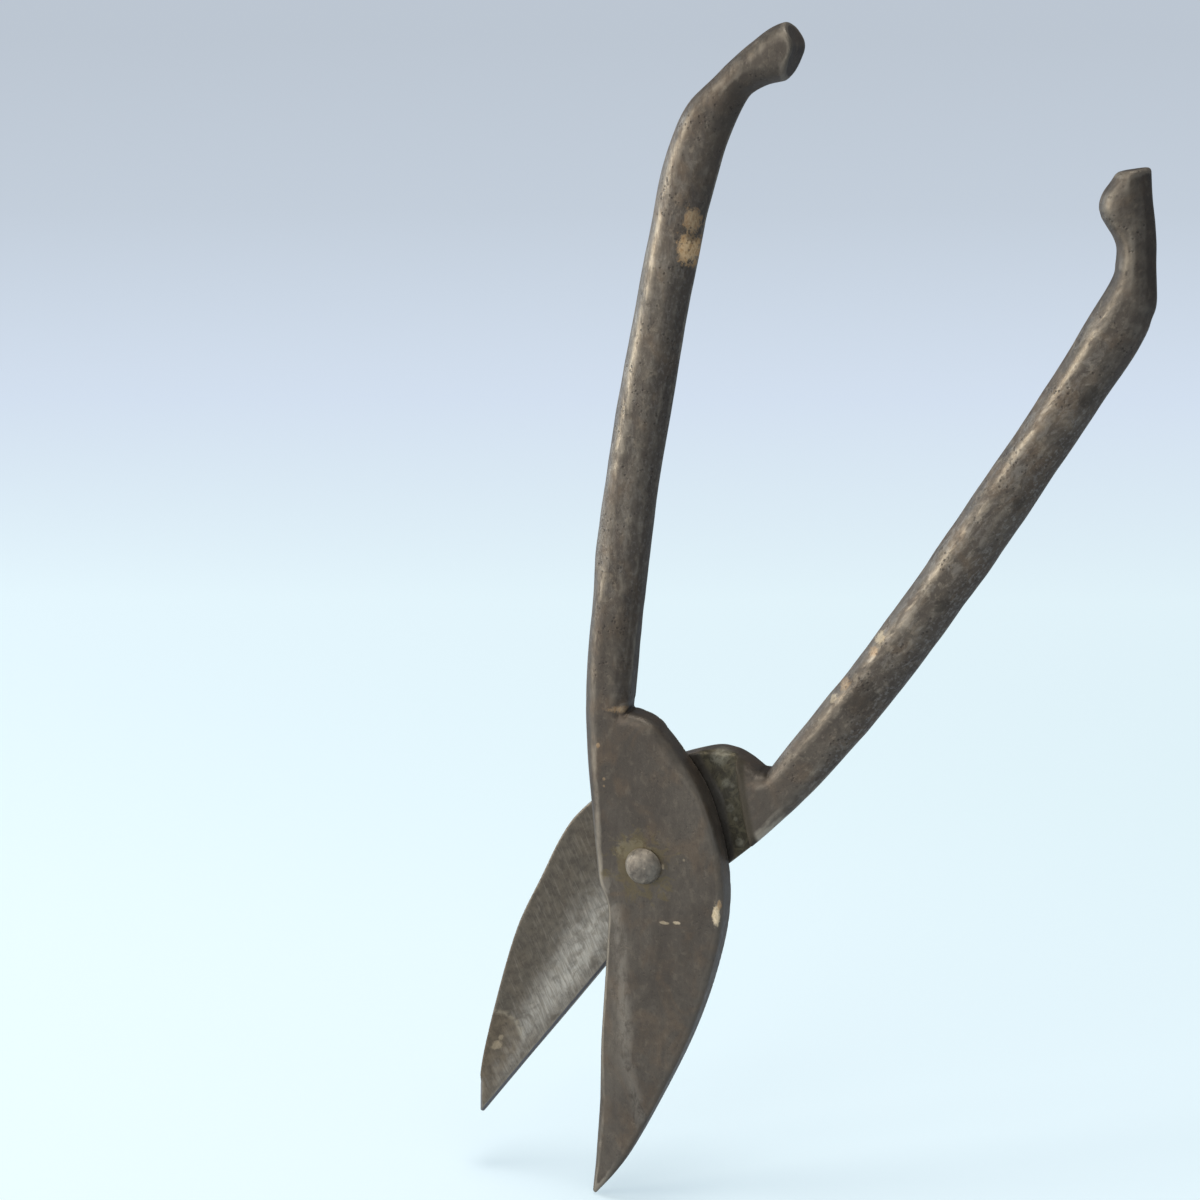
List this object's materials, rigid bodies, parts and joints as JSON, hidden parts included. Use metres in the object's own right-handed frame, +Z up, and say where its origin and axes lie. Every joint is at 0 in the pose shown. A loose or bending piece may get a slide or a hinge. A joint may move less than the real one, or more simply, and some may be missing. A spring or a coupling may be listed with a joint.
{
  "type": "tinner's snips",
  "caption": "Hand-forged metal-cutting shears: two one-piece blade-and-handle forgings that cross on a domed rivet, with long inward-turned handles ending in blunt knobs.",
  "frame": {"origin": "bottom centre of the tool's box at rest, on the ground under the blade tip; the rivet's axis passes 101 mm above it and 37.7 mm to the -X side", "axes": "+Z up along the tool with the handles on top and the blade tips down; -Y is the front, the rivet's domed head side; the rivet's axis is along Y; +X is towards the rear half's handle"},
  "size_m": [0.1801, 0.0239, 0.3225],
  "materials": {
    "front_forging": "aged forged steel with a brown-grey patina, worn bright along its edges",
    "rear_forging": "aged forged steel with a brown-grey patina, its blade face polished along the cut",
    "rivet": "hammered steel, worn on the dome",
    "washer": "dark oxidised steel"
  },
  "bodies": {
    "front_half": {"front_blade_and_handle": "front_forging", "pivot_rivet": "rivet", "rivet_washer": "washer"},
    "rear_half": {"rear_blade_and_handle": "rear_forging"}
  },
  "joints": [
    {"name": "blade_pivot", "type": "hinge", "parent": "front_half", "child": "rear_half", "pos_m": [-0.0377, -0.0003, 0.101], "axis": [0, 1, 0], "range_deg": [-21.9, 55]}
  ]
}
